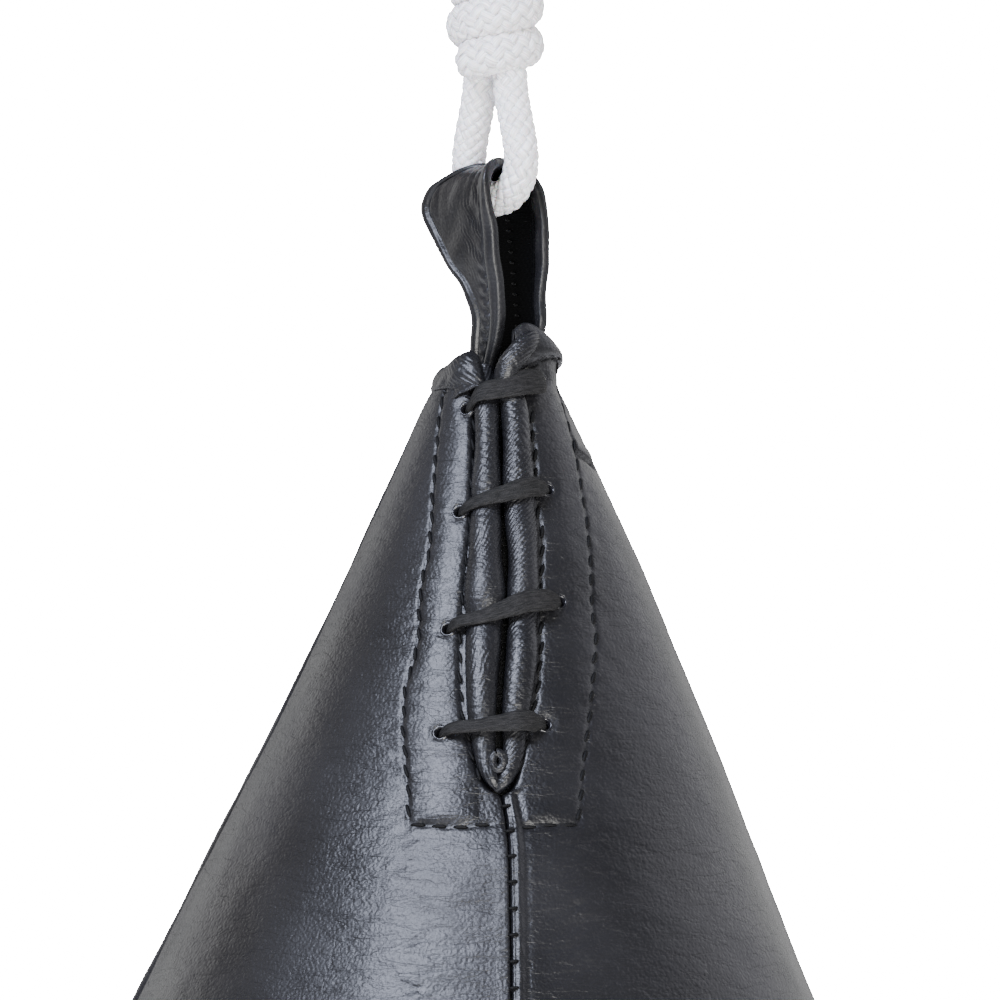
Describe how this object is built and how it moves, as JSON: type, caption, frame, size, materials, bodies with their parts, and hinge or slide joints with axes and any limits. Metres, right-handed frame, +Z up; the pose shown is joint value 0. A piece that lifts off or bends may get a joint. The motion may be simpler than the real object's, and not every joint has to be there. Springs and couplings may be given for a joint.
{
  "type": "pear-shaped striking bag",
  "caption": "Pear-shaped stitched leather striking bag with a laced filling slot, hung by a strap loop on a knotted braided rope from a swivel snap hook.",
  "frame": {"origin": "centre of the ceiling plate's upper face, on the swivel's axis", "axes": "+Z up, along the swivel's axis and out of the ceiling face; the laced slot of the bag faces -Y; +X to the right of the slot as seen from the front"},
  "size_m": [0.216, 0.216, 0.5691],
  "materials": {
    "plated_steel": "zinc plated",
    "hook_steel": "zinc plated",
    "spring_steel": "plain spring steel",
    "rope": "white diamond-braided polypropylene",
    "strap_leather": "black, satin",
    "webbing": "black woven webbing",
    "bag_leather": "black, satin, fine grain",
    "facing_leather": "black, flesh side in",
    "lace": "black flat woven lace",
    "canvas": "raw canvas",
    "tie_cord": "twisted cotton",
    "maize": "dry grain"
  },
  "bodies": {
    "ceiling": {"ceiling_plate": "plated_steel", "swivel_washer": "plated_steel"},
    "swivel": {"swivel_eye": "plated_steel"},
    "hook": {"snap_hook": "hook_steel"},
    "gate": {"hook_gate": "hook_steel", "gate_pin": "hook_steel", "gate_spring": "spring_steel"},
    "rope": {"rope_upper_loop": "rope", "rope_upper_knot": "rope", "rope_line": "rope", "rope_lower_knot": "rope", "rope_lower_loop": "rope"},
    "bag": {"strap_leather": "strap_leather", "strap_webbing": "webbing", "panel_front_left": "bag_leather", "panel_front_right": "bag_leather", "panel_back_right": "bag_leather", "panel_back_left": "bag_leather", "facing_left": "facing_leather", "facing_right": "facing_leather", "opening_roll_left": "bag_leather", "opening_roll_right": "bag_leather", "collar_left": "bag_leather", "collar_right": "bag_leather", "tongue": "facing_leather", "lace": "lace", "liner_bag": "canvas", "liner_tie": "tie_cord", "maize_fill": "maize"}
  },
  "joints": [
    {"name": "swivel_spin", "type": "hinge", "parent": "ceiling", "child": "swivel", "pos_m": [0, 0, -0.009], "axis": [0, 0, 1], "continuous": true},
    {"name": "hook_swing", "type": "hinge", "parent": "swivel", "child": "hook", "pos_m": [0, 0, -0.0314], "axis": [0, 1, 0], "range_deg": [-60, 60]},
    {"name": "gate_open", "type": "hinge", "parent": "hook", "child": "gate", "pos_m": [0.011, 0, -0.0578], "axis": [0, -1, 0], "range_deg": [0, 28], "stiffness_Nm_per_rad": 0.01, "springref_deg": -28.65},
    {"name": "rope_swing", "type": "hinge", "parent": "hook", "child": "rope", "pos_m": [0, 0, -0.0713], "axis": [1, 0, 0], "range_deg": [-50, 50]},
    {"name": "bag_swing", "type": "hinge", "parent": "rope", "child": "bag", "pos_m": [0, 0, -0.1889], "axis": [0.5299, -0.848, 0], "range_deg": [-30, 30]}
  ]
}
